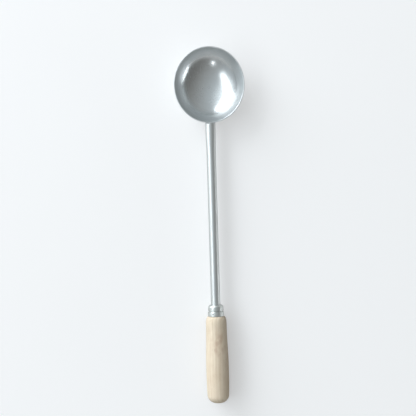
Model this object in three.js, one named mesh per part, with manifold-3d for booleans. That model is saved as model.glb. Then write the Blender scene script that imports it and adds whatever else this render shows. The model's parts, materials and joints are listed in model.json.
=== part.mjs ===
// A long-handled soup ladle: a pressed steel bowl welded to a steel tube, with a turned wooden grip
// held by a crimped steel ferrule and one nail. Millimetres, +Z up, lying as it rests on a table:
// the bowl opens upwards at +Y and the grip ends at -Y.
import * as THREE from "three";
import { mergeVertices } from "three/addons/utils/BufferGeometryUtils.js";
import Module from "manifold-3d";

const wasm = await Module();
wasm.setup();

// Bowl: a spherical cap, drawn in a little at the sides
const BOWL_LENGTH = 98; // over the rim, in line with the shank
const BOWL_WIDTH = 91.5; // over the rim, across the shank
const BOWL_DEPTH = 27.3; // from the rim plane to the outside of the bottom
const BOWL_SHEET = 1.2;
const RIM_EASING = 0.3; // rounding of the rim's two edges

// Shank: a round tube, pressed a little oval where it meets the bowl
const SHANK_DIAMETER = 12;
const SHANK_WALL = 1;
const SHANK_EXPOSED = 234.2; // from the top of the ferrule to the rim of the bowl
const SHANK_TANG = 62; // hidden inside the grip, below its shoulder
const SHANK_RISE = THREE.MathUtils.degToRad(8); // of the shank above the rim plane
const NECK_PRESS = 1.1; // taken off the tube's height at the neck, and added to its width
const NECK_LAND = 10; // length of the oval before the rim
const NECK_BLEND = 36; // length over which the round tube turns oval
const NECK_DROP = 1; // of the tube's top below the edge of the rim
const WELD_RADIUS = 2.4; // of the concave fillet

// Ferrule: a pressed cap with a skirt, a crimped groove, a bead and a rounded crown
const FERRULE_SKIRT = 5.3; // height of the skirt below the groove
const FERRULE_GROOVE_WIDTH = 2.4;
const FERRULE_GROOVE_DEPTH = 0.8; // below the bead
const FERRULE_BEAD = 3.9; // height of the bead between the groove and the crown
const FERRULE_BEAD_STEP = 0.4; // of the bead inside the skirt
const FERRULE_CROWN_RADIUS = 3.2;
const FERRULE_SHEET = 0.8;

// Nail, driven through the skirt of the ferrule
const NAIL_INSET = 1.5; // of the nail below the groove
const NAIL_DIAMETER = 1.6;
const NAIL_LENGTH = 8;
const NAIL_HEAD_DIAMETER = 2.6;
const NAIL_HEAD_HEIGHT = 0.6;
const NAIL_CROWN_DIAMETER = 1.8; // of the flat on top of the head
const NAIL_POINT = 2; // length of the taper
const NAIL_TURN = THREE.MathUtils.degToRad(-24); // round the shank from straight up, towards -X

// Grip: turned wood, a spigot inside the ferrule and then, from the ferrule to the butt, a rounded
// shoulder, a long swell, a short taper and a rounded end
const SPIGOT_WALL = 2.9; // of the wood between the shank and the ferrule's skirt
const GRIP_SHOULDER_STEP = 3; // of the shoulder outside the ferrule
const GRIP_SHOULDER_LENGTH = 4.6;
const GRIP_SWELL_LENGTH = 65.4;
const GRIP_BELLY_DIAMETER = 29.2;
const GRIP_TAPER_LENGTH = 29.8;
const GRIP_TAIL_DIAMETER = 27.8; // where the rounding of the butt starts
const GRIP_BUTT_LENGTH = 10; // of that rounding
const GRIP_BUTT_FLAT = 7.8; // diameter of the flat on the end
const GRIP_BORE_END_GAP = 3; // between the tang's end and the bottom of its bore

const CLEARANCE = 0.3; // between pieces that touch

// Fineness of the facets
const BOWL_SIDES = 64;
const ROUND_SIDES = 48;
const NAIL_SIDES = 16;
const ARC_STEPS = 4;
const BOWL_STEPS = 13;
const WELD_ARC_STEPS = 4;
const MERGE_DISTANCE = 1e-4; // between corners that are one

const STEEL_BOWL = { color: 0xc4c9c9, roughness: 0.16, metalness: 1 };
const STEEL_TUBE = { color: 0xbcc2c2, roughness: 0.24, metalness: 1 };
const STEEL_WELD = { color: 0xaeb4b2, roughness: 0.34, metalness: 1 };
const STEEL_FERRULE = { color: 0xbfc3c0, roughness: 0.28, metalness: 1 };
const STEEL_NAIL = { color: 0x8f938f, roughness: 0.4, metalness: 1 };
const PALE_WOOD = { color: 0xd9c8a6, roughness: 0.62, metalness: 0 };

// Derived sizes. The shank's frame has Y along the shank towards the bowl, Z up, and Y zero at the
// grip's shoulder.
const bowlRadius = BOWL_LENGTH / 2;
const bowlSquash = BOWL_WIDTH / BOWL_LENGTH;
const ballRadius = (bowlRadius ** 2 + BOWL_DEPTH ** 2) / (2 * BOWL_DEPTH);
const ballAboveRim = ballRadius - BOWL_DEPTH;
const shankRadius = SHANK_DIAMETER / 2;
const neckHalfWidth = (SHANK_DIAMETER + NECK_PRESS) / 2;
const neckHalfHeight = (SHANK_DIAMETER - NECK_PRESS) / 2;
const boreRadius = shankRadius + CLEARANCE;
const skirtRadius = boreRadius + SPIGOT_WALL + CLEARANCE + FERRULE_SHEET;
const beadRadius = skirtRadius - FERRULE_BEAD_STEP;
const grooveMiddle = FERRULE_SKIRT + FERRULE_GROOVE_WIDTH / 2;
const grooveRadius = beadRadius - FERRULE_GROOVE_DEPTH;
const crownRadius = Math.min(FERRULE_CROWN_RADIUS, beadRadius - boreRadius);
const crownStart = FERRULE_SKIRT + FERRULE_GROOVE_WIDTH + FERRULE_BEAD;
const ferruleTop = crownStart + crownRadius;
const gripBelly = GRIP_SHOULDER_LENGTH + GRIP_SWELL_LENGTH;
const gripTail = gripBelly + GRIP_TAPER_LENGTH;
const gripEnd = gripTail + GRIP_BUTT_LENGTH;
const rimEdge = new THREE.Vector3(0, ferruleTop + SHANK_EXPOSED, neckHalfHeight + NECK_DROP);
const awayFromShank = new THREE.Vector3(0, Math.cos(SHANK_RISE), Math.sin(SHANK_RISE));
const bowlUp = new THREE.Vector3(0, -Math.sin(SHANK_RISE), Math.cos(SHANK_RISE));
const ovalStart = rimEdge.y - NECK_LAND - NECK_BLEND;
const rimCentre = rimEdge.clone().addScaledVector(awayFromShank, bowlRadius);
const ballCentre = rimCentre.clone().addScaledVector(bowlUp, ballAboveRim);

// Solids for joining and cutting
function solidOf(geometry) {
  const bare = geometry.clone();
  bare.deleteAttribute("normal");
  bare.deleteAttribute("uv");
  const merged = mergeVertices(bare, MERGE_DISTANCE);
  const vertProperties = merged.attributes.position.array;
  const triVerts = new Uint32Array(merged.index.array);
  return new wasm.Manifold(new wasm.Mesh({ numProp: 3, vertProperties, triVerts }));
}

function geometryOf(solid) {
  const { vertProperties, triVerts } = solid.getMesh();
  const geometry = new THREE.BufferGeometry();
  geometry.setAttribute("position", new THREE.BufferAttribute(vertProperties, 3));
  geometry.setIndex(new THREE.BufferAttribute(triVerts, 1));
  geometry.computeVertexNormals();
  return geometry;
}

function cut(geometry, ...tools) {
  return geometryOf(tools.reduce((left, tool) => left.subtract(solidOf(tool)), solidOf(geometry)));
}

// A turned shape: a profile of (radius, height) points round the Y axis, with a flat side, not a
// corner, straight up and straight down
function turned(profile, sides) {
  return new THREE.LatheGeometry(profile, sides, Math.PI / sides);
}

function piece(name, geometry, finish) {
  const mesh = new THREE.Mesh(geometry, new THREE.MeshStandardMaterial(finish));
  mesh.name = name;
  return mesh;
}

function point(radius, height) {
  return new THREE.Vector2(radius, height);
}

// A profile moved inwards, square to itself
function movedIn(profile, distance) {
  return profile.map((here, i) => {
    const before = profile[Math.max(i - 1, 0)];
    const after = profile[Math.min(i + 1, profile.length - 1)];
    const along = after.clone().sub(before).normalize();
    return point(here.x - along.y * distance, here.y + along.x * distance);
  });
}

// Bowl
function ballArc(radius, rimHeight) {
  const widest = Math.acos((ballAboveRim - rimHeight) / radius);
  return Array.from({ length: BOWL_STEPS + 1 }, (_, i) => {
    const angle = (widest * i) / BOWL_STEPS;
    return point(radius * Math.sin(angle), ballAboveRim - radius * Math.cos(angle));
  });
}

function bowlGeometry() {
  const outside = ballArc(ballRadius, -RIM_EASING);
  const inside = ballArc(ballRadius - BOWL_SHEET, -RIM_EASING).reverse();
  const rim = [point(outside.at(-1).x - RIM_EASING, 0), point(inside[0].x + RIM_EASING, 0)];
  return turned([...outside, ...rim, ...inside], BOWL_SIDES);
}

// Shank tube
function neckOval(geometry) {
  const position = geometry.attributes.position;
  for (let i = 0; i < position.count; i++) {
    const share = THREE.MathUtils.smoothstep(position.getY(i), ovalStart, ovalStart + NECK_BLEND);
    position.setX(i, position.getX(i) * (1 + (share * NECK_PRESS) / SHANK_DIAMETER));
    position.setZ(i, position.getZ(i) * (1 - (share * NECK_PRESS) / SHANK_DIAMETER));
  }
  return geometry;
}

function shankGeometry() {
  const blend = Array.from({ length: ARC_STEPS + 1 }, (_, i) => ovalStart + (NECK_BLEND * i) / ARC_STEPS);
  const heights = [-SHANK_TANG, ...blend, ballCentre.y];
  const outside = heights.map((height) => point(shankRadius, height));
  const inside = heights.map((height) => point(shankRadius - SHANK_WALL, height)).reverse();
  const tube = neckOval(turned([...outside, ...inside, outside[0]], ROUND_SIDES));
  const bowlBall = new THREE.SphereGeometry(ballRadius + CLEARANCE, BOWL_SIDES, ROUND_SIDES);
  bowlBall.scale(bowlSquash, 1, 1);
  bowlBall.translate(ballCentre.x, ballCentre.y, ballCentre.z);
  return cut(tube, bowlBall, nailGeometry(CLEARANCE));
}

// Neck weld: the space under a ball that rolls round the tube against the bowl, worked out with the
// bowl still round and drawn in with it afterwards
function weldSection(angle) {
  const reach = ballRadius + CLEARANCE;
  const halfWidth = (neckHalfWidth + CLEARANCE) / bowlSquash;
  const halfHeight = neckHalfHeight + CLEARANCE;
  const onTube = new THREE.Vector3(halfWidth * Math.cos(angle), 0, halfHeight * Math.sin(angle));
  const slope = new THREE.Vector3(Math.cos(angle) / halfWidth, 0, Math.sin(angle) / halfHeight);
  const outwards = slope.normalize();
  const meeting = (from, distance) =>
    ballCentre.y - Math.sqrt(distance ** 2 - from.x ** 2 - (from.z - ballCentre.z) ** 2);
  const rolling = onTube.clone().addScaledVector(outwards, WELD_RADIUS);
  rolling.y = meeting(rolling, reach + WELD_RADIUS);
  const corner = onTube.clone().setY(meeting(onTube, reach));
  const toTube = outwards.clone().negate();
  const toBowl = ballCentre.clone().sub(rolling).normalize();
  const turn = new THREE.Quaternion().setFromUnitVectors(toTube, toBowl);
  const arc = Array.from({ length: WELD_ARC_STEPS + 1 }, (_, i) => {
    const partTurn = new THREE.Quaternion().slerp(turn, i / WELD_ARC_STEPS);
    return rolling.clone().addScaledVector(toTube.clone().applyQuaternion(partTurn), WELD_RADIUS);
  });
  return [corner, ...arc];
}

// A closed ring through sections that all have the same number of points
function ringGeometry(sections) {
  const across = sections[0].length;
  const index = [];
  for (let i = 0; i < sections.length; i++) {
    for (let j = 0; j < across; j++) {
      const here = i * across;
      const next = ((i + 1) % sections.length) * across;
      const right = (j + 1) % across;
      index.push(here + j, next + right, next + j, here + j, here + right, next + right);
    }
  }
  const geometry = new THREE.BufferGeometry().setFromPoints(sections.flat());
  geometry.setIndex(index);
  return geometry;
}

function weldGeometry() {
  const angles = Array.from({ length: ROUND_SIDES }, (_, i) => ((i + 0.5) * 2 * Math.PI) / ROUND_SIDES);
  const ring = ringGeometry(angles.map(weldSection)).scale(bowlSquash, 1, 1);
  const aboveRim = new THREE.BoxGeometry(BOWL_LENGTH, BOWL_LENGTH, BOWL_LENGTH);
  aboveRim.translate(0, 0, bowlRadius - CLEARANCE);
  aboveRim.rotateX(SHANK_RISE);
  aboveRim.translate(rimEdge.x, rimEdge.y, rimEdge.z);
  return cut(ring, aboveRim);
}

// Ferrule
function ferruleOutline() {
  const halfGroove = FERRULE_GROOVE_WIDTH / 2;
  const path = new THREE.Path();
  path.moveTo(skirtRadius, CLEARANCE);
  path.lineTo(skirtRadius, FERRULE_SKIRT);
  path.bezierCurveTo(
    skirtRadius, FERRULE_SKIRT + halfGroove / 2,
    grooveRadius, grooveMiddle - halfGroove / 2,
    grooveRadius, grooveMiddle,
  );
  path.bezierCurveTo(
    grooveRadius, grooveMiddle + halfGroove / 2,
    beadRadius, grooveMiddle + halfGroove / 2,
    beadRadius, grooveMiddle + halfGroove,
  );
  path.lineTo(beadRadius, crownStart);
  path.absarc(beadRadius - crownRadius, crownStart, crownRadius, 0, Math.PI / 2);
  path.lineTo(boreRadius, ferruleTop);
  return path.getPoints(ARC_STEPS);
}

function ferruleGeometry() {
  const outside = ferruleOutline();
  const inside = movedIn(outside, FERRULE_SHEET).reverse();
  return cut(turned([...outside, ...inside, outside[0]], ROUND_SIDES), nailGeometry(CLEARANCE));
}

// Nail, head outwards, on the skirt of the ferrule. With spare it is the hole for the nail.
function nailGeometry(spare = 0) {
  const shaft = NAIL_DIAMETER / 2 + spare;
  const head = NAIL_HEAD_DIAMETER / 2;
  const seat = skirtRadius + CLEARANCE;
  const tip = seat - NAIL_LENGTH - spare;
  const sides = [point(0, tip), point(shaft, tip + NAIL_POINT)];
  const flatHead = [point(shaft, seat), point(head, seat), point(head, seat + NAIL_HEAD_HEIGHT / 2)];
  const crown = point(NAIL_CROWN_DIAMETER / 2, seat + NAIL_HEAD_HEIGHT);
  const hole = [point(shaft, skirtRadius + NAIL_LENGTH), point(0, skirtRadius + NAIL_LENGTH)];
  const top = [...flatHead, crown, point(0, seat + NAIL_HEAD_HEIGHT)];
  const nail = turned([...sides, ...(spare ? hole : top)], NAIL_SIDES);
  nail.rotateX(Math.PI / 2);
  nail.rotateY(NAIL_TURN);
  return nail.translate(0, FERRULE_SKIRT - NAIL_INSET, 0);
}

// Grip
function gripOutline() {
  const shoulder = skirtRadius + GRIP_SHOULDER_STEP;
  const belly = GRIP_BELLY_DIAMETER / 2;
  const tail = GRIP_TAIL_DIAMETER / 2;
  const flat = GRIP_BUTT_FLAT / 2;
  const path = new THREE.Path();
  path.moveTo(flat, -gripEnd);
  path.absellipse(flat, -gripTail, tail - flat, GRIP_BUTT_LENGTH, -Math.PI / 2, 0);
  path.bezierCurveTo(tail, -gripTail, belly, -gripBelly - GRIP_TAPER_LENGTH / 2, belly, -gripBelly);
  path.bezierCurveTo(
    belly, -gripBelly + GRIP_SWELL_LENGTH / 2,
    shoulder, -GRIP_SHOULDER_LENGTH - GRIP_SWELL_LENGTH / 2,
    shoulder, -GRIP_SHOULDER_LENGTH,
  );
  path.absellipse(
    skirtRadius, -GRIP_SHOULDER_LENGTH,
    GRIP_SHOULDER_STEP, GRIP_SHOULDER_LENGTH, 0, Math.PI / 2,
  );
  return path.getPoints(ARC_STEPS);
}

function gripGeometry() {
  const spigotEnd = crownStart - CLEARANCE;
  const underFerrule = movedIn(ferruleOutline(), FERRULE_SHEET + CLEARANCE);
  const spigot = underFerrule.filter((place) => place.y > CLEARANCE && place.y < spigotEnd);
  const spigotFoot = point(spigot[0].x, 0);
  const boreEnd = -SHANK_TANG - GRIP_BORE_END_GAP;
  const spigotTop = [point(spigot.at(-1).x, spigotEnd), point(boreRadius, spigotEnd)];
  const bore = [point(boreRadius, boreEnd), point(0, boreEnd)];
  const outside = [point(0, -gripEnd), ...gripOutline(), spigotFoot, ...spigot];
  const profile = [...outside, ...spigotTop, ...bore];
  return cut(turned(profile, ROUND_SIDES), nailGeometry(CLEARANCE));
}

// The lean of the table under the ladle in the shank's frame: it touches the ball of the bowl and the
// lowest part of the grip
function tableLean() {
  const leans = gripOutline().map(({ x: radius, y: place }) => {
    const along = ballCentre.y - place;
    const up = ballCentre.z + radius;
    return Math.atan2(up, along) - Math.asin(ballRadius / Math.hypot(along, up));
  });
  return Math.max(...leans);
}

const bowl = piece("bowl", bowlGeometry(), STEEL_BOWL);
bowl.position.copy(rimCentre);
bowl.rotation.x = Math.PI / 2 + SHANK_RISE;
bowl.scale.x = bowlSquash;

const onShank = new THREE.Group();
onShank.add(bowl);
onShank.add(piece("shank_tube", shankGeometry(), STEEL_TUBE));
onShank.add(piece("neck_weld", weldGeometry(), STEEL_WELD));
onShank.add(piece("ferrule", ferruleGeometry(), STEEL_FERRULE));
onShank.add(piece("ferrule_nail", nailGeometry(), STEEL_NAIL));
onShank.add(piece("grip", gripGeometry(), PALE_WOOD));
onShank.rotation.x = -tableLean();

// The origin is on the table, under the middle of the ladle
const box = new THREE.Box3().setFromObject(onShank, true);
const middle = box.getCenter(new THREE.Vector3());
onShank.position.set(-middle.x, -middle.y, -box.min.z);

const ladle = new THREE.Group();
ladle.add(onShank);

export default ladle;
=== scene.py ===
"""Looks of a long soup ladle: polished steel bowl, tube and ferrule, and a turned wooden grip.

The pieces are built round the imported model. The file is laid out as an add-on and run as a script."""
import json
import math
from typing import NamedTuple

import bmesh
import bpy
from bpy.props import FloatProperty, FloatVectorProperty, PointerProperty
from mathutils import Matrix, Vector
from mathutils.geometry import interpolate_bezier


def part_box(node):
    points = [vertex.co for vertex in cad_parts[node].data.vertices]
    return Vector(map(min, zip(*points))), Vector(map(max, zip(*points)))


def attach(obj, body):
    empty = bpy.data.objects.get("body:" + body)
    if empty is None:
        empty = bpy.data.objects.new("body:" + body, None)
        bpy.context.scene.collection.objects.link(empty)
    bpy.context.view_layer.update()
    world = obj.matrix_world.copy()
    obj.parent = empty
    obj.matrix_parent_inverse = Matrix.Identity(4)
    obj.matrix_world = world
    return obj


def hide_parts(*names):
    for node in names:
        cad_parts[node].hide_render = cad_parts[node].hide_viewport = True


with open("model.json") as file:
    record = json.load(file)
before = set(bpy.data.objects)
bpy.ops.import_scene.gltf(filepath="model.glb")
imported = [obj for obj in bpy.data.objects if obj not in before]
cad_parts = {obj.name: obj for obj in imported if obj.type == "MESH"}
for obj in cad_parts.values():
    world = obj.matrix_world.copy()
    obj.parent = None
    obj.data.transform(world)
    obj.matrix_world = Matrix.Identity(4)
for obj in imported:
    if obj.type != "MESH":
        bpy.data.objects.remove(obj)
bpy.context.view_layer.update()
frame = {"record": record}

bl_info = {
    "name": "Soup Ladle",
    "version": (1, 0, 0),
    "blender": (4, 5, 0),
    "location": "View3D > Sidebar > Ladle",
    "description": "Builds the looks of a steel soup ladle with a wooden grip",
    "category": "Object",
}

PHOTO_SIDE = 416  # pixels, both ways
SENSOR = 36.0  # millimetres
MILLIMETRES = 1000  # in a metre

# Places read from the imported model. The shank's frame has Y along the shank towards the bowl, Z up, and
# its origin on the shank's axis at the grip's shoulder.
BOWL_LOW, BOWL_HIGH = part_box("bowl")
FERRULE_LOW, FERRULE_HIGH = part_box("ferrule")
GRIP_LOW, GRIP_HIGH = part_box("grip")
BOWL_MIDDLE = (BOWL_LOW.y + BOWL_HIGH.y) / 2
SKIRT_RADIUS = (FERRULE_HIGH.x - FERRULE_LOW.x) / 2
SEAT_GAP = 0.0003  # between pieces that are pressed or driven together
SHOULDER = Vector((0, FERRULE_LOW.y - SEAT_GAP, (FERRULE_LOW.z + FERRULE_HIGH.z) / 2))
SHANK_WAY = -Vector(frame["record"]["mounts"][0]["axis"])
SHANK_LEAN = math.atan2(SHANK_WAY.z, SHANK_WAY.y)
SHANK_FRAME = Matrix.Translation(SHOULDER) @ Matrix.Rotation(SHANK_LEAN, 4, "X")
TANG_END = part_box("shank_tube")[0].y - SHOULDER.y

# Fineness of the meshes
ROUND_STEPS = 128
BOWL_STEPS = 192
ARC_STEPS = 12
EDGE_STEPS = 6
BOWL_ARC_STEPS = 56
LONG_STEPS = 24
SWELL_STEPS = 48
NAIL_STEPS = 32
MERGE_DISTANCE = 1e-6
SHARP_ANGLE = math.radians(40)
CIRCLE_HANDLE = 0.5523  # share of a quarter circle's corner where its handles lie


def length(name, default, description):
    return FloatProperty(
        name=name, description=description, default=default, min=0, unit="LENGTH", precision=5
    )


def angle(name, default, description):
    return FloatProperty(
        name=name, description=description, default=math.radians(default), unit="ROTATION"
    )


def place(name, default, description):
    return FloatVectorProperty(
        name=name, description=description, default=default, size=3, subtype="TRANSLATION", unit="LENGTH"
    )


def colour(name, default, description):
    return FloatVectorProperty(
        name=name, description=description, default=default, min=0, max=1, size=3, subtype="COLOR"
    )


def number(name, default, description):
    return FloatProperty(name=name, description=description, default=default, min=0)


class LadleSizes(bpy.types.PropertyGroup):
    """Sizes of the ladle's pieces, in metres"""

    bowl_width: length("Bowl width", BOWL_HIGH.x - BOWL_LOW.x, "Over the rim, across the shank")
    bowl_depth: length("Bowl depth", 0.0273, "From the rim plane to the outside of the bottom")
    bowl_sheet: length("Bowl sheet", 0.0012, "Thickness of the pressed steel")
    rim_easing: length("Rim easing", 0.00035, "Rounding of the rim's two edges")
    rim_tilt: angle("Rim tilt", 8, "Of the rim plane over the shank")
    shank_diameter: length("Shank diameter", 0.012, "Outside of the tube")
    shank_wall: length("Shank wall", 0.001, "Thickness of the tube")
    neck_press: length("Neck press", 0.0011, "Taken off the neck's height and added to its width")
    neck_land: length("Neck land", 0.010, "Length of the oval before the rim")
    neck_blend: length("Neck blend", 0.036, "Length over which the round tube turns oval")
    neck_lift: length("Neck lift", 0.0009, "Of the oval neck, which brings its top level with the rim")
    neck_gap: length("Neck gap", 0.00005, "Between the tube's end and the bowl")
    weld_radius: length("Weld radius", 0.0036, "Of the concave fillet round the neck")
    weld_root: length("Weld root", 0.0003, "How far the weld runs into the bowl's sheet")
    weld_thinning: number("Weld thinning", 0.9, "Share of the fillet's radius that is ground off on top")
    ferrule_skirt: length("Ferrule skirt", 0.0053, "Height of the skirt below the groove")
    ferrule_groove: length("Ferrule groove", 0.0024, "Width of the crimped groove")
    groove_depth: length("Groove depth", 0.0008, "Of the groove below the bead")
    bead_step: length("Bead step", 0.0004, "Of the bead inside the skirt")
    crown_radius: length("Crown radius", 0.0032, "Rounding of the ferrule's top")
    ferrule_sheet: length("Ferrule sheet", 0.0007, "Thickness of the pressed steel")
    skirt_curl: length("Skirt curl", 0.0003, "Rounding of the skirt's lower edge")
    nail_inset: length("Nail inset", 0.0015, "Of the nail below the groove")
    nail_diameter: length("Nail diameter", 0.0016, "Of the shaft")
    nail_length: length("Nail length", 0.008, "Below the head")
    nail_head: length("Nail head", 0.0023, "Diameter of the head")
    nail_head_height: length("Nail head height", 0.0004, "Of the domed head")
    nail_turn: angle("Nail turn", 24, "Round the shank from straight up, towards -X")
    shoulder_step: length("Shoulder step", 0.003, "Of the wood outside the ferrule")
    shoulder_length: length("Shoulder length", 0.0078, "Of the rounded shoulder")
    belly_diameter: length("Belly diameter", GRIP_HIGH.x - GRIP_LOW.x, "Thickest part of the grip")
    taper_length: length("Taper length", 0.0298, "From the belly to the rounding of the butt")
    tail_diameter: length("Tail diameter", 0.0278, "Where the rounding of the butt starts")
    butt_length: length("Butt length", 0.010, "Of the rounded end")
    butt_flat: length("Butt flat", 0.0078, "Diameter of the flat on the end")


class LadleColours(bpy.types.PropertyGroup):
    """Colours of the ladle's surfaces and of the floor"""

    bowl_steel: colour("Bowl steel", (0.755, 0.785, 0.79), "Polished inside and outside of the bowl")
    tube_steel: colour("Tube steel", (0.66, 0.685, 0.675), "Polished tube")
    weld_steel: colour("Weld steel", (0.68, 0.705, 0.71), "Ground weld")
    ferrule_steel: colour("Ferrule steel", (0.66, 0.685, 0.665), "Pressed ferrule")
    nail_steel: colour("Nail steel", (0.50, 0.515, 0.51), "Plain nail")
    wood_pale: colour("Pale wood", (0.84, 0.73, 0.575), "Early wood")
    wood_warm: colour("Warm wood", (0.66, 0.52, 0.37), "Late wood, patches and end grain")
    wood_blush: colour("Wood blush", (0.54, 0.365, 0.255), "Pinkish brown mottling")
    wood_pore: colour("Wood pores", (0.30, 0.21, 0.13), "Open pores")
    floor: colour("Floor", (0.62, 0.62, 0.62), "What the floor gives back of the lamps' light")


class LadleStage(bpy.types.PropertyGroup):
    """Camera and studio light"""

    focal_pixels: number("Focal length", 684.1, "In pixels of a square picture")
    camera_place: place("Camera place", (-0.0063, -0.0081, 0.900), "From the floor under the ladle")
    camera_tilt: angle("Camera tilt", 1.93, "Of the view towards the bowl")
    camera_roll: angle("Camera roll", -1.68, "Of the picture")
    floor_radius: length("Floor radius", 2.6, "Of the round floor")
    floor_clear: length("Clear floor", 0.7, "Radius inside which the floor doesn't fade")
    floor_bounce: number("Floor bounce", 0.2, "Share of the floor's colour that lights the ladle")
    floor_glow: number("Floor glow", 0.36, "Added to the floor where it is seen or mirrored")
    backdrop_near: number("Backdrop near", 0.96, "Where it is seen or mirrored, by the window")
    backdrop_far: number("Backdrop far", 0.74, "Where it is seen or mirrored, on the other side")
    sky_near: number("Sky near", 0.53, "Brightness of the studio round the window")
    sky_far: number("Sky far", 0.175, "Brightness of the studio on the other side")
    sky_glow: number("Sky glow", 0.5, "Brightness added close to the window")
    lamp_tint: colour("Lamp tint", (0.92, 0.96, 1.0), "Cool daylight of the lamps")
    window_level: number("Window level", 6.4, "Of the large soft lamp on the left, where 1 is white")
    skylight_level: number("Skylight level", 1.8, "Brightness of the long soft lamp above it")
    spot_level: number("Spot level", 12, "Brightness of the small lamp beyond the grip")
    strip_level: number("Strip level", 15, "Brightness of the low strip on the right")
    dim_strip_level: number("Dim strip level", 2.2, "Brightness of the low strip beyond it")


# Outlines are lists of (distance from the axis, place along it) as vectors
def at(radius, along):
    return Vector((radius, along, 0))


def rounded(start, corner, end, steps=ARC_STEPS):
    """A quarter of an ellipse from start to end, bulging towards the corner."""
    first = start.lerp(corner, CIRCLE_HANDLE)
    last = end.lerp(corner, CIRCLE_HANDLE)
    return interpolate_bezier(start, first, last, end, steps)


def eased(start, end, steps):
    """A curve from start to end that runs along the axis at both ends."""
    middle = (start.y + end.y) / 2
    return interpolate_bezier(start, at(start.x, middle), at(end.x, middle), end, steps)


def arc(centre, radius, first, last, steps):
    """Points on a circle round a centre on the axis, by their angles from straight down."""
    turns = (first + (last - first) * i / steps for i in range(steps + 1))
    return [centre + at(radius * math.sin(turn), -radius * math.cos(turn)) for turn in turns]


def turned(bm, outline, steps=ROUND_STEPS):
    """Spins an outline round the Y axis into a skin."""
    verts = [bm.verts.new(point) for point in outline]
    edges = [bm.edges.new(pair) for pair in zip(verts, verts[1:])]
    bmesh.ops.spin(
        bm,
        geom=verts + edges,
        cent=(0, 0, 0),
        axis=(0, 1, 0),
        angle=2 * math.pi,
        steps=steps,
        use_merge=True,
    )
    bmesh.ops.remove_doubles(bm, verts=bm.verts, dist=MERGE_DISTANCE)
    bmesh.ops.recalc_face_normals(bm, faces=bm.faces)


def ring_round_shank(bm, radius, along):
    """Starts an empty bmesh with a circle square to the Y axis, and gives its edges."""
    upright = Matrix.Translation((0, along, 0)) @ Matrix.Rotation(math.pi / 2, 4, "X")
    bmesh.ops.create_circle(bm, segments=ROUND_STEPS, radius=radius, matrix=upright)
    return bm.edges[:]


def next_ring(bm, edges):
    """Extrudes a ring of edges and gives its new edges and vertices."""
    made = bmesh.ops.extrude_edge_only(bm, edges=edges)["geom"]
    new_edges = [item for item in made if isinstance(item, bmesh.types.BMEdge)]
    return new_edges, [item for item in made if isinstance(item, bmesh.types.BMVert)]


def arranged(items, key):
    """Puts the vertices, edges or faces of a bmesh in order."""
    for index, item in enumerate(sorted(items, key=key)):
        item.index = index
    items.sort()
    items.index_update()


def in_fixed_order(bm):
    """Gives a bmesh the same order in every run, which its operators alone don't."""
    arranged(bm.verts, lambda vert: vert.co[:])
    for items in (bm.edges, bm.faces):
        arranged(items, lambda item: sorted(vert.index for vert in item.verts))


def finished_mesh(bm, name, material):
    """Turns a bmesh into a mesh with one material."""
    mesh = bpy.data.meshes.new(name)
    bm.to_mesh(mesh)
    bm.free()
    mesh.materials.append(material)
    return mesh


def linked(name, data):
    """A new object in the scene."""
    made = bpy.data.objects.new(name, data)
    bpy.context.scene.collection.objects.link(made)
    return made


def placed(bm, name, matrix, material, node):
    """Makes a bmesh into a finished piece that stands for a node."""
    bmesh.ops.transform(bm, matrix=matrix, verts=bm.verts)
    in_fixed_order(bm)
    for face in bm.faces:
        face.smooth = True
    for edge in bm.edges:
        edge.smooth = edge.is_manifold and edge.calc_face_angle() < SHARP_ANGLE
    piece = linked(name, finished_mesh(bm, name, material))
    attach(piece, "root")
    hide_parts(node)
    return piece


def walled(piece, thickness):
    """Gives an open skin its wall, inwards."""
    wall = piece.modifiers.new("Wall", "SOLIDIFY")
    wall.thickness = thickness
    wall.offset = -1
    wall.use_even_offset = True


# Places that more than one piece follows
class BowlPlan:
    """Where the bowl's ball and rim lie, in the ladle's frame."""

    def __init__(self, sizes):
        tilt = sizes.rim_tilt + SHANK_LEAN
        self.up = Vector((0, -math.sin(tilt), math.cos(tilt)))
        self.radius = (BOWL_HIGH.y - BOWL_LOW.y) / 2 / math.cos(tilt)
        self.ball = (self.radius**2 + sizes.bowl_depth**2) / (2 * sizes.bowl_depth)
        self.above = self.ball - sizes.bowl_depth
        self.squash = sizes.bowl_width / 2 / self.radius
        self.rim_centre = Vector((0, BOWL_MIDDLE, self.ball - self.above * self.up.z))
        self.ball_centre = self.rim_centre + self.up * self.above
        self.frame = Matrix.Translation(self.rim_centre) @ Matrix.Rotation(math.pi / 2 + tilt, 4, "X")


class NeckPlan:
    """Where the oval neck lies against the bowl, in the shank's frame."""

    def __init__(self, sizes):
        bowl = BowlPlan(sizes)
        into_shank = SHANK_FRAME.inverted()
        self.ball = bowl.ball
        self.squash = bowl.squash
        self.ball_centre = into_shank @ bowl.ball_centre
        self.rim_centre = into_shank @ bowl.rim_centre
        self.rim_up = into_shank.to_3x3() @ bowl.up
        self.rim_place = self.rim_centre.y - bowl.radius * math.cos(sizes.rim_tilt)
        self.blend = sizes.neck_blend
        self.oval_start = self.rim_place - sizes.neck_land - self.blend
        self.half_width = (sizes.shank_diameter + sizes.neck_press) / 2
        self.half_height = (sizes.shank_diameter - sizes.neck_press) / 2
        self.lift = sizes.neck_lift

    def oval_share(self, along):
        """How far the tube has turned oval, from 0 to 1, at a place along the shank."""
        share = min(max((along - self.oval_start) / self.blend, 0), 1)
        return share * share * (3 - 2 * share)

    def meets_ball(self, x, z, ball):
        """Place along the shank where a line beside its axis meets a ball round the bowl's centre."""
        below = z - self.ball_centre.z
        return self.ball_centre.y - math.sqrt(ball**2 - (x / self.squash) ** 2 - below**2)


# Building blocks of the finishes
MIX_SHARE, MIX_FIRST, MIX_SECOND, MIX_RESULT = 0, 6, 7, 2  # a Mix node's sockets for colours


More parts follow.
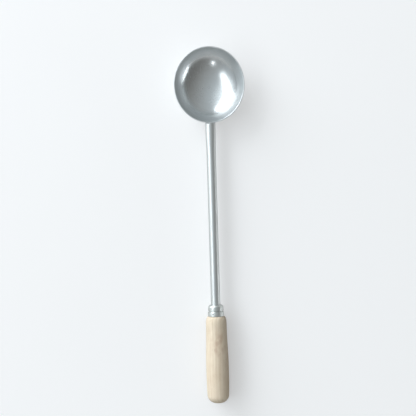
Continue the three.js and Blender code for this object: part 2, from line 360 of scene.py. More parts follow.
def connect(tree, node, inputs):
    """Gives a node its inputs. A socket is joined, and any other value is set."""
    for name, value in inputs.items():
        if isinstance(value, bpy.types.NodeSocket):
            tree.links.new(value, node.inputs[name])
        else:
            node.inputs[name].default_value = value


def add(tree, kind, inputs=None, **settings):
    """Adds a node with its inputs and settings."""
    made = tree.nodes.new(kind)
    for name, value in settings.items():
        setattr(made, name, value)
    connect(tree, made, inputs or {})
    return made


def maths(tree, operation, *operands):
    return add(tree, "ShaderNodeMath", dict(enumerate(operands)), operation=operation).outputs[0]


def product(tree, first, second):
    return maths(tree, "MULTIPLY", first, second)


def weighted(tree, start, *terms):
    """A start value, plus the value of each term times its share."""
    total = start
    for value, share in terms:
        total = maths(tree, "MULTIPLY_ADD", value, share, total)
    return total


def remap(tree, value, span, to=(0.0, 1.0), curve="LINEAR"):
    """Takes the values of a span to others, and holds them outside it."""
    ends = ("From Min", "From Max", "To Min", "To Max")
    inputs = {"Value": value, **dict(zip(ends, (*span, *to)))}
    return add(tree, "ShaderNodeMapRange", inputs, interpolation_type=curve).outputs[0]


def smooth(tree, value, span, to=(0.0, 1.0)):
    """As remap does, with soft ends."""
    return remap(tree, value, span, to, "SMOOTHSTEP")


def rgba(value):
    return value if isinstance(value, bpy.types.NodeSocket) else (*value, 1)


def mixed(tree, share, first, second):
    """A colour between two colours."""
    inputs = {MIX_SHARE: share, MIX_FIRST: rgba(first), MIX_SECOND: rgba(second)}
    return add(tree, "ShaderNodeMix", inputs, data_type="RGBA").outputs[MIX_RESULT]


def noise(tree, vector, scale=1.0, detail=3.0, roughness=0.5, distortion=0.0):
    inputs = {"Vector": vector, "Scale": scale, "Detail": detail}
    inputs |= {"Roughness": roughness, "Distortion": distortion}
    return add(tree, "ShaderNodeTexNoise", inputs).outputs[0]


def bump(tree, height, depth, normal=None):
    inputs = {"Height": height, "Strength": 1.0, "Distance": depth}
    if normal:
        inputs["Normal"] = normal
    return add(tree, "ShaderNodeBump", inputs).outputs[0]


def axes(tree, vector):
    return add(tree, "ShaderNodeSeparateXYZ", {"Vector": vector}).outputs


def combined(tree, x, y, z):
    return add(tree, "ShaderNodeCombineXYZ", {"X": x, "Y": y, "Z": z}).outputs[0]


def in_frame(tree, matrix, squash=1.0):
    """Object coordinates in millimetres, seen from a piece's own frame and with its squash undone."""
    back = matrix.inverted()
    inputs = {
        "Vector": add(tree, "ShaderNodeTexCoord").outputs["Object"],
        "Location": back.translation * MILLIMETRES,
        "Rotation": back.to_euler(),
        "Scale": (MILLIMETRES / squash, MILLIMETRES, MILLIMETRES),
    }
    return add(tree, "ShaderNodeMapping", inputs).outputs[0]


def stretched(tree, vector, across, along):
    """A vector scaled across and along the frame's Y axis."""
    inputs = {"Vector": vector, "Scale": (across, along, across)}
    return add(tree, "ShaderNodeMapping", inputs).outputs[0]


def from_axis(tree, x, z):
    """Distance from an axis, by the two distances across it."""
    return maths(tree, "SQRT", maths(tree, "MULTIPLY_ADD", x, x, product(tree, z, z)))


def new_material(name):
    material = bpy.data.materials.new(name)
    material.use_nodes = True
    tree = material.node_tree
    tree.nodes.clear()
    shader = add(tree, "ShaderNodeBsdfPrincipled")
    add(tree, "ShaderNodeOutputMaterial", {"Surface": shader.outputs[0]}, is_active_output=True)
    return material, tree, shader


# Effects that all the steels share
SCRATCH_TURNS = (0.5, 2.0)  # radians
SCRATCH_SIDE_TURN = 0.7  # share of a turn that is made round Y
SCRATCH_SCALE = (3.2, 0.035, 0.06)  # across, along and through a scratch


def effect_group(name, inputs, outputs):
    """An empty shader node group with named sockets, what it is given and its end node."""
    tree = bpy.data.node_groups.new(name, "ShaderNodeTree")
    for socket, kind in inputs.items():
        tree.interface.new_socket(socket, in_out="INPUT", socket_type=kind)
    for socket, kind in outputs.items():
        tree.interface.new_socket(socket, in_out="OUTPUT", socket_type=kind)
    return tree, add(tree, "NodeGroupInput").outputs, add(tree, "NodeGroupOutput")


def effect(tree, name, inputs):
    """Places a shared effect in a material with its own values."""
    return add(tree, "ShaderNodeGroup", inputs, node_tree=bpy.data.node_groups[name]).outputs


def make_polishing_marks():
    """Streaks that a polishing wheel leaves, along a vector that is already stretched along them."""
    tree, given, result = effect_group(
        "Polishing marks",
        {"Vector": "NodeSocketVector"},
        {"Height": "NodeSocketFloat", "Streak": "NodeSocketFloat"},
    )
    fine = noise(tree, given["Vector"], detail=4.0, roughness=0.6)
    broad = noise(tree, given["Vector"], scale=0.17, detail=2.0)
    height = weighted(tree, fine, (broad, 0.5))
    connect(tree, result, {"Height": height, "Streak": remap(tree, broad, (0.35, 0.68))})


def make_handling_haze():
    """Patches and spots where fingers and drying water dull a polished surface."""
    tree, given, result = effect_group(
        "Handling haze",
        {"Vector": "NodeSocketVector", "Size": "NodeSocketFloat"},
        {"Haze": "NodeSocketFloat", "Spots": "NodeSocketFloat"},
    )
    rate = maths(tree, "DIVIDE", 1.0, given["Size"])
    patches = noise(tree, given["Vector"], rate, detail=5.0, roughness=0.62, distortion=0.6)
    cells = add(tree, "ShaderNodeTexVoronoi", {"Vector": given["Vector"], "Scale": 0.11}).outputs
    spots = remap(tree, cells["Distance"], (0.10, 0.16), (1.0, 0.0))
    rare = remap(tree, axes(tree, cells["Color"])[0], (0.80, 0.82))
    haze = remap(tree, patches, (0.42, 0.72))
    connect(tree, result, {"Haze": haze, "Spots": product(tree, spots, rare)})


def make_stray_scratches():
    """Hairline scratches in two directions."""
    tree, given, result = effect_group(
        "Stray scratches", {"Vector": "NodeSocketVector"}, {"Scratch": "NodeSocketFloat"}
    )
    lines = []
    for turn in SCRATCH_TURNS:
        turns = (turn, turn * SCRATCH_SIDE_TURN, turn)
        inputs = {"Vector": given["Vector"], "Rotation": turns, "Scale": SCRATCH_SCALE}
        drawn_out = add(tree, "ShaderNodeMapping", inputs).outputs[0]
        lines.append(remap(tree, noise(tree, drawn_out, detail=0.0), (0.82, 0.86)))
    connect(tree, result, {"Scratch": maths(tree, "MAXIMUM", *lines)})


def make_pressing_waves():
    """The faint waviness that pressing and polishing leave in steel."""
    tree, given, result = effect_group(
        "Pressing waves", {"Vector": "NodeSocketVector"}, {"Height": "NodeSocketFloat"}
    )
    waves = noise(tree, given["Vector"], scale=0.055, detail=1.5, roughness=0.4)
    connect(tree, result, {"Height": waves})


# Steel finishes
HAZE_SIZE = 26.0  # millimetres
HAZE_DULLING = 0.07  # added to the roughness, as the next two are
SPOT_DULLING = 0.06
SCRATCH_DULLING = 0.10
HAZE_DARKENING = 0.45  # share of the darker tint, as the next is
STREAK_DARKENING = 0.35
DARKER_TINT = 0.86
SCRATCH_CUT = -0.4  # of a scratch, where the polishing marks are 1 high
EDGE_TINT = 0.5  # share of its brightness that steel keeps where it is seen along its surface
INSIDE_ROUGHNESS = 0.20
RIM_ROUGHNESS = 0.29
RUBBED_BAND = (37.0, 40.0)  # millimetres from the bowl's axis, over which it grows rougher


def marks_round_axis(across, along):
    """Marks that run round the frame's Y axis, by radius and place."""

    def by_radius(tree, vector):
        x, y, z = axes(tree, vector)
        radius = from_axis(tree, x, z)
        safe = maths(tree, "MAXIMUM", radius, 1.0)
        travelled = product(tree, maths(tree, "ADD", radius, y), across)
        side = product(tree, maths(tree, "DIVIDE", x, safe), along)
        front = product(tree, maths(tree, "DIVIDE", z, safe), along)
        return combined(tree, travelled, side, front)

    return by_radius


def marks_along_axis(across, along):
    """Marks that run along the frame's Y axis."""
    return lambda tree, vector: stretched(tree, vector, across, along)


def even(roughness):
    """The same roughness everywhere."""
    return lambda tree, vector: roughness


def rubbed_towards_rim(tree, vector):
    """Roughness that grows from the polished inside to the rubbed band along the rim."""
    x, _, z = axes(tree, vector)
    return smooth(tree, from_axis(tree, x, z), RUBBED_BAND, (INSIDE_ROUGHNESS, RIM_ROUGHNESS))


def steel(name, tint, matrix, marks, roughness, streaks, depth, wave, squash=1.0):
    """A polished steel: polishing streaks, haze, water spots, scratches and a faint waviness. The
    value of streaks is their share in the roughness, and depth and wave are heights in metres."""
    material, tree, shader = new_material(name)
    vector = in_frame(tree, matrix, squash)
    polish = effect(tree, "Polishing marks", {"Vector": marks(tree, vector)})
    haze = effect(tree, "Handling haze", {"Vector": vector, "Size": HAZE_SIZE})
    scratch = effect(tree, "Stray scratches", {"Vector": vector})["Scratch"]
    waves = effect(tree, "Pressing waves", {"Vector": vector})["Height"]
    dulled = weighted(
        tree,
        roughness(tree, vector),
        (haze["Haze"], HAZE_DULLING),
        (haze["Spots"], SPOT_DULLING),
        (polish["Streak"], streaks),
        (scratch, SCRATCH_DULLING),
    )
    share = weighted(tree, 0.0, (haze["Haze"], HAZE_DARKENING), (polish["Streak"], STREAK_DARKENING))
    darker = [DARKER_TINT * part for part in tint]
    marked = bump(tree, weighted(tree, polish["Height"], (scratch, SCRATCH_CUT)), depth)
    inputs = {
        "Base Color": mixed(tree, share, tint, darker),
        "Roughness": dulled,
        "Metallic": 1.0,
        "Specular Tint": (EDGE_TINT, EDGE_TINT, EDGE_TINT, 1),
        "Normal": bump(tree, waves, wave, marked),
    }
    connect(tree, shader, inputs)
    return material


def bowl_finish(tint, plan):
    return steel(
        "Polished bowl steel",
        tint,
        plan.frame,
        marks_round_axis(across=3.4, along=1.3),
        rubbed_towards_rim,
        streaks=0.05,
        depth=0.000004,
        wave=0.00015,
        squash=plan.squash,
    )


def tube_finish(tint):
    return steel(
        "Polished tube steel",
        tint,
        SHANK_FRAME,
        marks_along_axis(across=5.0, along=0.03),
        even(0.36),
        streaks=0.06,
        depth=0.000004,
        wave=0.00002,
    )


def weld_finish(tint):
    return steel(
        "Ground weld steel",
        tint,
        SHANK_FRAME,
        marks_round_axis(across=3.0, along=1.5),
        even(0.27),
        streaks=0.10,
        depth=0.000012,
        wave=0.00025,
    )


def ferrule_finish(tint):
    return steel(
        "Pressed ferrule steel",
        tint,
        SHANK_FRAME,
        marks_round_axis(across=4.0, along=1.0),
        even(0.36),
        streaks=0.08,
        depth=0.000004,
        wave=0.00004,
    )


def nail_finish(tint, matrix):
    return steel(
        "Plain nail steel",
        tint,
        matrix,
        marks_round_axis(across=6.0, along=0.8),
        even(0.34),
        streaks=0.10,
        depth=0.00001,
        wave=0.00012,
    )


# Wood finish. Its places are in millimetres in the shank's frame.
PITH_X = -21.0
PITH_Z = -13.0
RING_WIDTH = 3.6
RING_SWAY = 7.0
RING_LATE_WOOD = (0.35, 0.95)  # shares of a ring's width over which it darkens
RING_EDGE = (0.95, 1.0)  # and over which it turns pale again
BLUSH_X = 1.5
BLUSH_Y = -34.0
BLUSH_ALONG = 0.6  # share of the distance along the grip that counts, so that the zone is long
BLUSH_ZONE = (3.0, 13.0)  # distances from the zone's middle between which the mottling fades
BLUSH_ELSEWHERE = 0.12
BLUSH_SHARE = 0.65
RING_SHARE = 0.30
FIBRE_SHARE = 0.42
PATCH_SHARE = 0.30
STREAK_SHARE = -0.25
PORE_SHARE = 0.42
END_GRAIN = (0.55, 0.98)  # how far the wood faces the butt, between which its end grain shows
END_GRAIN_SHARE = 0.5
WOOD_ROUGHNESS = (0.66, 0.82)
WOOD_GLOSS = 0.2
TURNING_RATE = 1.6  # per millimetre along the grip
TURNING_HEIGHT = 0.35  # where the fibres are 1 high
PORE_HEIGHT = -1.0
WOOD_RELIEF = 0.00012  # metres


def growth_rings(tree, vector):
    """Dark late wood in rings round a pith that lies outside the grip."""
    sway = noise(tree, stretched(tree, vector, across=0.05, along=0.012), detail=2.0)
    x, _, z = axes(tree, vector)
    from_pith_x = maths(tree, "SUBTRACT", weighted(tree, x, (sway, RING_SWAY)), PITH_X)
    from_pith_z = maths(tree, "SUBTRACT", z, PITH_Z)
    counted = maths(tree, "DIVIDE", from_axis(tree, from_pith_x, from_pith_z), RING_WIDTH)
    rings = maths(tree, "FRACT", counted)
    late = remap(tree, rings, RING_LATE_WOOD)
    return product(tree, late, remap(tree, rings, RING_EDGE, (1.0, 0.0)))


def mottling(tree, vector):
    """Soft brown mottling that gathers in a zone below the shoulder."""
    across, along, _ = axes(tree, vector)
    from_middle = maths(tree, "SUBTRACT", across, BLUSH_X)
    from_zone = product(tree, maths(tree, "SUBTRACT", along, BLUSH_Y), BLUSH_ALONG)
    zone = smooth(tree, from_axis(tree, from_middle, from_zone), BLUSH_ZONE, (1.0, BLUSH_ELSEWHERE))
    clouds = noise(tree, stretched(tree, vector, across=0.15, along=0.10), detail=2.0, roughness=0.45)
    return product(tree, remap(tree, clouds, (0.36, 0.66)), zone)


def wood_colour(tree, vector, fibres, pores, colours):
    """Rings, fibres, patches and light streaks, then the mottling, the pores and the end grain."""
    patches = noise(tree, vector, scale=0.045, roughness=0.55)
    streaks = noise(tree, stretched(tree, vector, across=0.5, along=0.012), detail=2.0)
    shade = weighted(
        tree,
        remap(tree, fibres, (0.3, 0.75), (0.0, FIBRE_SHARE)),
        (growth_rings(tree, vector), RING_SHARE),
        (remap(tree, patches, (0.4, 0.7)), PATCH_SHARE),
        (remap(tree, streaks, (0.48, 0.66)), STREAK_SHARE),
    )
    body = mixed(tree, shade, colours.wood_pale, colours.wood_warm)
    blushed = mixed(tree, product(tree, mottling(tree, vector), BLUSH_SHARE), body, colours.wood_blush)
    grained = mixed(tree, product(tree, pores, PORE_SHARE), blushed, colours.wood_pore)
    facing = axes(tree, add(tree, "ShaderNodeNewGeometry").outputs["Normal"])[1]
    end_grain = remap(tree, product(tree, facing, -1.0), END_GRAIN, (0.0, END_GRAIN_SHARE))
    return mixed(tree, end_grain, grained, colours.wood_warm)


def wood_finish(colours):
    """Pale turned wood, sanded and unvarnished, with fine turning marks."""
    material, tree, shader = new_material("Turned pale wood")
    vector = in_frame(tree, SHANK_FRAME)
    fibres = noise(tree, stretched(tree, vector, across=2.2, along=0.045), detail=5.0, roughness=0.62)
    holes = noise(tree, stretched(tree, vector, across=2.6, along=0.16), detail=1.0, roughness=0.3)
    pores = remap(tree, holes, (0.71, 0.79))
    lathe_place = product(tree, axes(tree, vector)[1], TURNING_RATE)
    turning = noise(tree, combined(tree, 0.0, lathe_place, 0.0), roughness=0.6)
    relief = weighted(tree, fibres, (turning, TURNING_HEIGHT), (pores, PORE_HEIGHT))
    inputs = {
        "Base Color": wood_colour(tree, vector, fibres, pores, colours),
        "Roughness": remap(tree, fibres, (0.3, 0.7), WOOD_ROUGHNESS),
        "Specular IOR Level": WOOD_GLOSS,
        "Normal": bump(tree, relief, WOOD_RELIEF),
    }
    connect(tree, shader, inputs)
    return material


def make_bowl(sizes, colours):
    """Turns the bowl's sheet from its ball, with both edges of the rim eased, and squashes it oval."""
    plan = BowlPlan(sizes)
    inside = plan.ball - sizes.bowl_sheet
    centre = at(0, plan.above)
    eased_height = plan.above + sizes.rim_easing
    outer = arc(centre, plan.ball, 0, math.acos(eased_height / plan.ball), BOWL_ARC_STEPS)
    inner = arc(centre, inside, math.acos(eased_height / inside), 0, BOWL_ARC_STEPS)
    outer_corner = at(plan.radius, 0)
    inner_corner = at(math.sqrt(inside**2 - plan.above**2), 0)
    easing = at(sizes.rim_easing, 0)
    outer_edge = rounded(outer[-1], outer_corner, outer_corner - easing, EDGE_STEPS)
    inner_edge = rounded(inner_corner + easing, inner_corner, inner[0], EDGE_STEPS)
    bm = bmesh.new()
    turned(bm, outer[:-1] + outer_edge + inner_edge + inner[1:], BOWL_STEPS)
    oval = plan.frame @ Matrix.Diagonal((plan.squash, 1, 1, 1))
    placed(bm, "polished_bowl", oval, bowl_finish(colours.bowl_steel, plan), "bowl")


def make_shank(sizes, colours):
    """Draws the tube out ring by ring, presses its neck oval and cuts its end to the bowl."""
    neck = NeckPlan(sizes)
    bm = bmesh.new()
    edges = ring_round_shank(bm, sizes.shank_diameter / 2, TANG_END)
    stations = [neck.oval_start + neck.blend * i / LONG_STEPS for i in range(LONG_STEPS + 1)]
    for along in [*stations, neck.rim_place]:
        edges, verts = next_ring(bm, edges)
        for vert in verts:
            vert.co.y = along
    press = sizes.neck_press / sizes.shank_diameter
    for vert in bm.verts:
        share = neck.oval_share(vert.co.y)
        vert.co.x *= 1 + share * press
        vert.co.z *= 1 - share * press
        vert.co.z += share * neck.lift
    for vert in verts:
        vert.co.y = neck.meets_ball(vert.co.x, vert.co.z, neck.ball + sizes.neck_gap)
    bmesh.ops.recalc_face_normals(bm, faces=bm.faces)
    finish = tube_finish(colours.tube_steel)
    piece = placed(bm, "steel_shank", SHANK_FRAME, finish, "shank_tube")
    walled(piece, sizes.shank_wall)


def weld_point(sizes, neck, turn, share):
    """A point on the fillet that a ball leaves as it rolls round the tube against the bowl. It is worked
    out on the bowl before its squash, and squashed at the end."""
    half_width = neck.half_width / neck.squash
    radius = sizes.weld_radius * (1 - sizes.weld_thinning * max(math.sin(turn), 0) ** 2)
    on_tube = Vector((half_width * math.cos(turn), 0, neck.half_height * math.sin(turn) + neck.lift))
    outwards = Vector((math.cos(turn) / half_width, 0, math.sin(turn) / neck.half_height)).normalized()
    rolling = on_tube + outwards * radius
    reach = neck.ball - sizes.weld_root + radius
    beside = rolling.x**2 + (rolling.z - neck.ball_centre.z) ** 2
    rolling.y = neck.ball_centre.y - math.sqrt(reach**2 - beside)
    to_tube = -outwards
    to_bowl = (neck.ball_centre - rolling).normalized()
    point = rolling + to_tube.slerp(to_bowl, share) * radius
    point.x *= neck.squash
    return point


def make_weld(sizes, colours):
    """Draws the fillet out from the tube to the bowl, closes it inside and cuts it flush with the rim."""
    neck = NeckPlan(sizes)
    bm = bmesh.new()
    first = edges = ring_round_shank(bm, neck.half_width, 0)
    turns = bm.verts.layers.float.new("turn")
    for vert in bm.verts:
        vert[turns] = math.atan2(vert.co.z, vert.co.x)
        vert.co = weld_point(sizes, neck, vert[turns], 0)
    for step in range(1, ARC_STEPS + 1):
        edges, verts = next_ring(bm, edges)
        for vert in verts:
            vert.co = weld_point(sizes, neck, vert[turns], step / ARC_STEPS)
    edges, verts = next_ring(bm, edges)
    for vert in verts:
        x = neck.half_width * math.cos(vert[turns])
        z = neck.half_height * math.sin(vert[turns]) + neck.lift
        vert.co = Vector((x, neck.meets_ball(x, z, neck.ball - sizes.weld_root), z))
    bmesh.ops.bridge_loops(bm, edges=first + edges)
    bmesh.ops.recalc_face_normals(bm, faces=bm.faces)
    in_fixed_order(bm)
    everything = bm.verts[:] + bm.edges[:] + bm.faces[:]
    cut = bmesh.ops.bisect_plane(
        bm, geom=everything, plane_co=neck.rim_centre, plane_no=neck.rim_up, clear_outer=True
    )
    cut_edges = [item for item in cut["geom_cut"] if isinstance(item, bmesh.types.BMEdge)]
    bmesh.ops.edgeloop_fill(bm, edges=cut_edges)
    placed(bm, "ground_weld", SHANK_FRAME, weld_finish(colours.weld_steel), "neck_weld")


def make_ferrule(sizes, colours):
    """Turns the ferrule's skin: curled foot, skirt, crimped groove, bead and crown."""
    top = FERRULE_HIGH.y - SHOULDER.y
    bead = SKIRT_RADIUS - sizes.bead_step
    groove = bead - sizes.groove_depth
    groove_low = sizes.ferrule_skirt
    groove_high = groove_low + sizes.ferrule_groove
    groove_middle = (groove_low + groove_high) / 2
    crown = top - sizes.crown_radius
    hole = (sizes.shank_diameter + SEAT_GAP) / 2
    curl = sizes.skirt_curl
    corner = at(SKIRT_RADIUS, SEAT_GAP)
    foot = rounded(corner - at(curl, 0), corner, corner + at(0, curl))
    crimp = eased(at(SKIRT_RADIUS, groove_low), at(groove, groove_middle), ARC_STEPS)
    rise = eased(at(groove, groove_middle), at(bead, groove_high), ARC_STEPS)
    dome = rounded(at(bead, crown), at(bead, top), at(bead - sizes.crown_radius, top))
    bm = bmesh.new()
    turned(bm, foot + crimp + rise[1:] + dome + [at(hole, top)])
    finish = ferrule_finish(colours.ferrule_steel)
    piece = placed(bm, "crimped_ferrule", SHANK_FRAME, finish, "ferrule")
    walled(piece, sizes.ferrule_sheet)


def make_nail(sizes, colours):
    """Turns the nail, with its point as long as it is thick, and drives it through the skirt."""
    shaft = sizes.nail_diameter / 2
    head = sizes.nail_head / 2
    top = SKIRT_RADIUS + sizes.nail_head_height
    tip = SKIRT_RADIUS - sizes.nail_length
    point = [at(0, tip), at(shaft, tip + sizes.nail_diameter), at(shaft, SKIRT_RADIUS)]
    dome = rounded(at(head, SKIRT_RADIUS), at(head, top), at(0, top))
    bm = bmesh.new()
    turned(bm, point + dome, NAIL_STEPS)
    upright = Matrix.Rotation(math.pi / 2, 4, "X")
    seat = Matrix.Translation((0, sizes.ferrule_skirt - sizes.nail_inset, 0))
    driven = SHANK_FRAME @ seat @ Matrix.Rotation(-sizes.nail_turn, 4, "Y") @ upright
    finish = nail_finish(colours.nail_steel, driven)
    placed(bm, "ferrule_nail_head", driven, finish, "ferrule_nail")


def make_grip(sizes, colours):
    """Turns the grip from its butt to its shoulder, with its spigot and the bore for the tang."""
    flat = sizes.butt_flat / 2
    end = GRIP_LOW.y - SHOULDER.y + flat * abs(math.sin(SHANK_LEAN))
    spigot_top = GRIP_HIGH.y - SHOULDER.y
    shoulder = SKIRT_RADIUS + sizes.shoulder_step
    belly = sizes.belly_diameter / 2
    tail = sizes.tail_diameter / 2
    tail_place = end + sizes.butt_length
    belly_place = tail_place + sizes.taper_length
    bore = sizes.shank_diameter / 2
    bore_end = TANG_END - SEAT_GAP
    spigot = SKIRT_RADIUS - sizes.bead_step - sizes.groove_depth - sizes.ferrule_sheet - SEAT_GAP
    butt = rounded(at(flat, end), at(tail, end), at(tail, tail_place), LONG_STEPS)
    taper_handle = at(belly, belly_place - sizes.taper_length / 2)
    taper = interpolate_bezier(butt[-1], butt[-1], taper_handle, at(belly, belly_place), LONG_STEPS)
    swell = eased(at(belly, belly_place), at(shoulder, -sizes.shoulder_length), SWELL_STEPS)
    round_off = rounded(swell[-1], at(shoulder, 0), at(SKIRT_RADIUS, 0), LONG_STEPS)
    spigot_outline = [at(spigot, 0), at(spigot, spigot_top)]
    bore_outline = [at(bore, spigot_top), at(bore, bore_end), at(0, bore_end)]
    outside = [at(0, end)] + butt + taper[1:] + swell[1:] + round_off[1:]
    bm = bmesh.new()
    turned(bm, outside + spigot_outline + bore_outline)
    placed(bm, "turned_grip", SHANK_FRAME, wood_finish(colours), "grip")


# Stage
def towards(azimuth, off_zenith):
    """A direction by its azimuth from +X and its angle off straight up, in degrees."""
    around = math.radians(azimuth)
    down = math.radians(off_zenith)
    across = math.sin(down)
    return Vector((math.cos(around) * across, math.sin(around) * across, math.cos(down)))


class Lamp(NamedTuple):
    """A rectangular lamp that faces the bowl. Its size and shift are shares of its distance."""

    name: str
    level: str  # the stage's value that holds its brightness
    way: Vector
    size: tuple
    roll: float = 0.0  # degrees
    shift: tuple = (0.0, 0.0)
    soft: bool = False


WINDOW_WAY = towards(152, 57)
LAMPS = (
    Lamp("window_lamp", "window_level", WINDOW_WAY, (1.26, 0.84), shift=(-0.38, -0.265), soft=True),
    Lamp("skylight_lamp", "skylight_level", WINDOW_WAY, (1.70, 0.55), 27, (0.81, -0.055), soft=True),
    Lamp("spot_lamp", "spot_level", towards(257, 65.5), (0.07, 0.07)),
    Lamp("strip_lamp", "strip_level", towards(-19, 82.4), (0.72, 0.04), roll=5, soft=True),
    Lamp("dim_strip_lamp", "dim_strip_level", towards(24, 78), (0.5, 0.06), roll=5),
)
LAMP_DISTANCE = 3.0
LAMP_MIDDLE = 0.5  # a lamp's own coordinates run from 0 to 1
SOFT_EDGE = (0.3, 0.5)  # distances from the middle between which a soft lamp's brightness falls

# Spans of the sky and the backdrop, by the cosine of the angle from the window
SKY_SPAN = (-0.5, 0.7)
GLOW_SPAN = (0.68, 1.0)
TINT_SPAN = (-0.4, 0.7)
BACKDROP_SPAN = (-0.7, 0.7)
HORIZON_SPAN = (0.08, 0.15)  # sines of the heights between which the backdrop turns into the sky
SKY_FAR_TINT = (1.0, 1.0, 0.97)
SKY_NEAR_TINT = (0.92, 1.0, 1.05)
WHITE = (1, 1, 1)
BLACK = (0, 0, 0)


def make_camera(stage):
    """Places the camera that takes the photograph's view."""
    data = bpy.data.cameras.new("photo_camera")
    data.sensor_fit = "HORIZONTAL"
    data.sensor_width = SENSOR
    data.lens = stage.focal_pixels / PHOTO_SIDE * SENSOR
    camera = linked("photo_camera", data)
    tilt = Matrix.Rotation(stage.camera_tilt, 4, "X")
    roll = Matrix.Rotation(stage.camera_roll, 4, "Z")
    camera.matrix_world = Matrix.Translation(stage.camera_place) @ tilt @ roll
    bpy.context.scene.camera = camera


def soften_edges(data):
    """Makes a lamp's brightness fall off towards its edges, as a curtained window's does."""
    data.use_nodes = True
    tree = data.node_tree
    tree.nodes.clear()
    coordinates = axes(tree, add(tree, "ShaderNodeNewGeometry").outputs["Parametric"])
    shares = []
    for coordinate in coordinates[:2]:
        from_middle = maths(tree, "ABSOLUTE", maths(tree, "SUBTRACT", coordinate, LAMP_MIDDLE))
        shares.append(smooth(tree, from_middle, SOFT_EDGE, (1.0, 0.0)))
    emission = add(tree, "ShaderNodeEmission", {"Strength": product(tree, *shares)})
    add(tree, "ShaderNodeOutputLight", {"Surface": emission.outputs[0]})


def make_lamp(lamp, stage):
    """Places a lamp. Its level is its brightness as seen from the bowl."""
    data = bpy.data.lights.new(lamp.name, "AREA")
    data.color = stage.lamp_tint
    data.shape = "RECTANGLE"
    data.size = lamp.size[0] * LAMP_DISTANCE
    data.size_y = lamp.size[1] * LAMP_DISTANCE
    data.energy = getattr(stage, lamp.level) * math.pi * data.size * data.size_y
    if lamp.soft:
        soften_edges(data)
    bowl = Matrix.Translation((0, BOWL_MIDDLE, 0))
    facing = (-lamp.way).to_track_quat("-Z", "Y").to_matrix().to_4x4()
    rolled = facing @ Matrix.Rotation(math.radians(lamp.roll), 4, "Z")
    away = Matrix.Translation(Vector((*lamp.shift, 1)) * LAMP_DISTANCE)
    linked(lamp.name, data).matrix_world = bowl @ rolled @ away


def seen_rays(tree):
    """1 for rays that show a surface itself, in the picture or in a reflection, and 0 for its light."""
    path = add(tree, "ShaderNodeLightPath").outputs
    seen = maths(tree, "MAXIMUM", path["Is Camera Ray"], path["Is Glossy Ray"])
    return maths(tree, "MAXIMUM", seen, path["Is Transmission Ray"])


def make_sky(stage):
    """A studio that is brighter round the window than across from it, over a pale backdrop."""
    world = bpy.data.worlds.new("Studio")
    world.use_nodes = True
    tree = world.node_tree
    tree.nodes.clear()
    looking = add(tree, "ShaderNodeTexCoord").outputs["Generated"]
    ways = {0: looking, 1: WINDOW_WAY}
    near = add(tree, "ShaderNodeVectorMath", ways, operation="DOT_PRODUCT").outputs["Value"]
    wide = remap(tree, near, SKY_SPAN, (stage.sky_far, stage.sky_near))
    sky = maths(tree, "ADD", wide, smooth(tree, near, GLOW_SPAN, (0.0, stage.sky_glow)))
    tint = mixed(tree, remap(tree, near, TINT_SPAN), SKY_FAR_TINT, SKY_NEAR_TINT)
    backdrop = remap(tree, near, BACKDROP_SPAN, (stage.backdrop_far, stage.backdrop_near))
    low = smooth(tree, axes(tree, looking)[2], HORIZON_SPAN, (1.0, 0.0))
    pale = product(tree, low, seen_rays(tree))
    level = weighted(tree, sky, (maths(tree, "SUBTRACT", backdrop, sky), pale))
    inputs = {"Color": mixed(tree, pale, tint, WHITE), "Strength": level}
    background = add(tree, "ShaderNodeBackground", inputs)
    add(tree, "ShaderNodeOutputWorld", {"Surface": background.outputs[0]})
    bpy.context.scene.world = world


def floor_finish(colours, stage):
    """A pale floor that keeps the shadow near the ladle and fades out over the backdrop away from it."""
    material, tree, shader = new_material("Pale floor")
    x, y, _ = axes(tree, add(tree, "ShaderNodeTexCoord").outputs["Object"])
    fading = (stage.floor_clear, stage.floor_radius)
    seen = seen_rays(tree)
    shown = maths(tree, "MAXIMUM", seen, stage.floor_bounce)
    inputs = {
        "Base Color": mixed(tree, shown, BLACK, colours.floor),
        "Roughness": 1.0,
        "Specular IOR Level": 0.0,
        "Alpha": smooth(tree, from_axis(tree, x, y), fading, (1.0, 0.0)),
        "Emission Color": rgba(WHITE),
        "Emission Strength": product(tree, seen, stage.floor_glow),
    }
    connect(tree, shader, inputs)
    return material


def make_floor(colours, stage):
    """A round floor under the ladle."""
    bm = bmesh.new()
    bmesh.ops.create_circle(bm, cap_ends=True, segments=ROUND_STEPS, radius=stage.floor_radius)
    floor = linked("pale_floor", finished_mesh(bm, "pale_floor", floor_finish(colours, stage)))


class OBJECT_OT_ladle_stage(bpy.types.Operator):
    """Sets up the camera, the soft lamps, the sky and the pale floor"""

    bl_idname = "object.ladle_stage"
    bl_label = "Stage"

    def execute(self, context):
        scene = context.scene
        scene.view_settings.view_transform = "Standard"
        make_camera(scene.ladle_stage)
        for lamp in LAMPS:
            make_lamp(lamp, scene.ladle_stage)
        make_sky(scene.ladle_stage)
        make_floor(scene.ladle_colours, scene.ladle_stage)
        return {"FINISHED"}


class OBJECT_OT_ladle_effects(bpy.types.Operator):
    """Builds the shared effects that the steel finishes use"""

    bl_idname = "object.ladle_effects"
    bl_label = "Shared Effects"

    def execute(self, context):
        make_polishing_marks()
        make_handling_haze()
        make_stray_scratches()
        make_pressing_waves()
        return {"FINISHED"}


class OBJECT_OT_ladle_bowl(bpy.types.Operator):
    """Builds the pressed and polished bowl"""

    bl_idname = "object.ladle_bowl"
    bl_label = "Bowl"

    def execute(self, context):
        make_bowl(context.scene.ladle_sizes, context.scene.ladle_colours)
        return {"FINISHED"}


class OBJECT_OT_ladle_shank(bpy.types.Operator):
    """Builds the tube, pressed oval and cut to the bowl"""

    bl_idname = "object.ladle_shank"
    bl_label = "Shank"

    def execute(self, context):
        make_shank(context.scene.ladle_sizes, context.scene.ladle_colours)
        return {"FINISHED"}


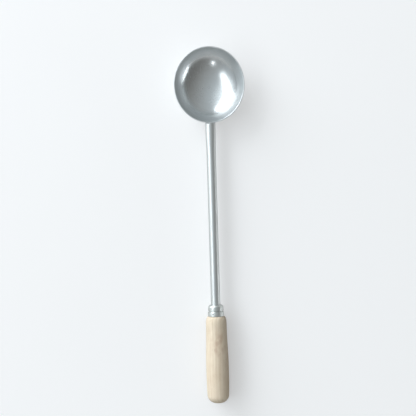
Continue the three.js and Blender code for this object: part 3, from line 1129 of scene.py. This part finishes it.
class OBJECT_OT_ladle_weld(bpy.types.Operator):
    """Builds the ground weld round the neck"""

    bl_idname = "object.ladle_weld"
    bl_label = "Neck Weld"

    def execute(self, context):
        make_weld(context.scene.ladle_sizes, context.scene.ladle_colours)
        return {"FINISHED"}


class OBJECT_OT_ladle_ferrule(bpy.types.Operator):
    """Builds the crimped ferrule and its nail"""

    bl_idname = "object.ladle_ferrule"
    bl_label = "Ferrule and Nail"

    def execute(self, context):
        make_ferrule(context.scene.ladle_sizes, context.scene.ladle_colours)
        make_nail(context.scene.ladle_sizes, context.scene.ladle_colours)
        return {"FINISHED"}


class OBJECT_OT_ladle_grip(bpy.types.Operator):
    """Builds the turned wooden grip"""

    bl_idname = "object.ladle_grip"
    bl_label = "Grip"

    def execute(self, context):
        make_grip(context.scene.ladle_sizes, context.scene.ladle_colours)
        return {"FINISHED"}


OPERATORS = (
    OBJECT_OT_ladle_stage,
    OBJECT_OT_ladle_effects,
    OBJECT_OT_ladle_bowl,
    OBJECT_OT_ladle_shank,
    OBJECT_OT_ladle_weld,
    OBJECT_OT_ladle_ferrule,
    OBJECT_OT_ladle_grip,
)


class VIEW3D_PT_ladle(bpy.types.Panel):
    """Lists the ladle's steps, sizes, colours and light"""

    bl_idname = "VIEW3D_PT_ladle"
    bl_label = "Soup Ladle"
    bl_space_type = "VIEW_3D"
    bl_region_type = "UI"
    bl_category = "Ladle"

    def draw(self, context):
        for operator in OPERATORS:
            self.layout.operator(operator.bl_idname)
        for group in (context.scene.ladle_sizes, context.scene.ladle_colours, context.scene.ladle_stage):
            box = self.layout.box()
            for name in group.__annotations__:
                box.prop(group, name)


CLASSES = (LadleSizes, LadleColours, LadleStage, *OPERATORS, VIEW3D_PT_ladle)


def register():
    for item in CLASSES:
        bpy.utils.register_class(item)
    bpy.types.Scene.ladle_sizes = PointerProperty(type=LadleSizes)
    bpy.types.Scene.ladle_colours = PointerProperty(type=LadleColours)
    bpy.types.Scene.ladle_stage = PointerProperty(type=LadleStage)


def unregister():
    del bpy.types.Scene.ladle_stage
    del bpy.types.Scene.ladle_colours
    del bpy.types.Scene.ladle_sizes
    for item in reversed(CLASSES):
        bpy.utils.unregister_class(item)


def main():
    register()
    bpy.ops.object.ladle_stage()
    bpy.ops.object.ladle_effects()
    bpy.ops.object.ladle_bowl()
    bpy.ops.object.ladle_shank()
    bpy.ops.object.ladle_weld()
    bpy.ops.object.ladle_ferrule()
    bpy.ops.object.ladle_grip()


if __name__ == "__main__":
    main()
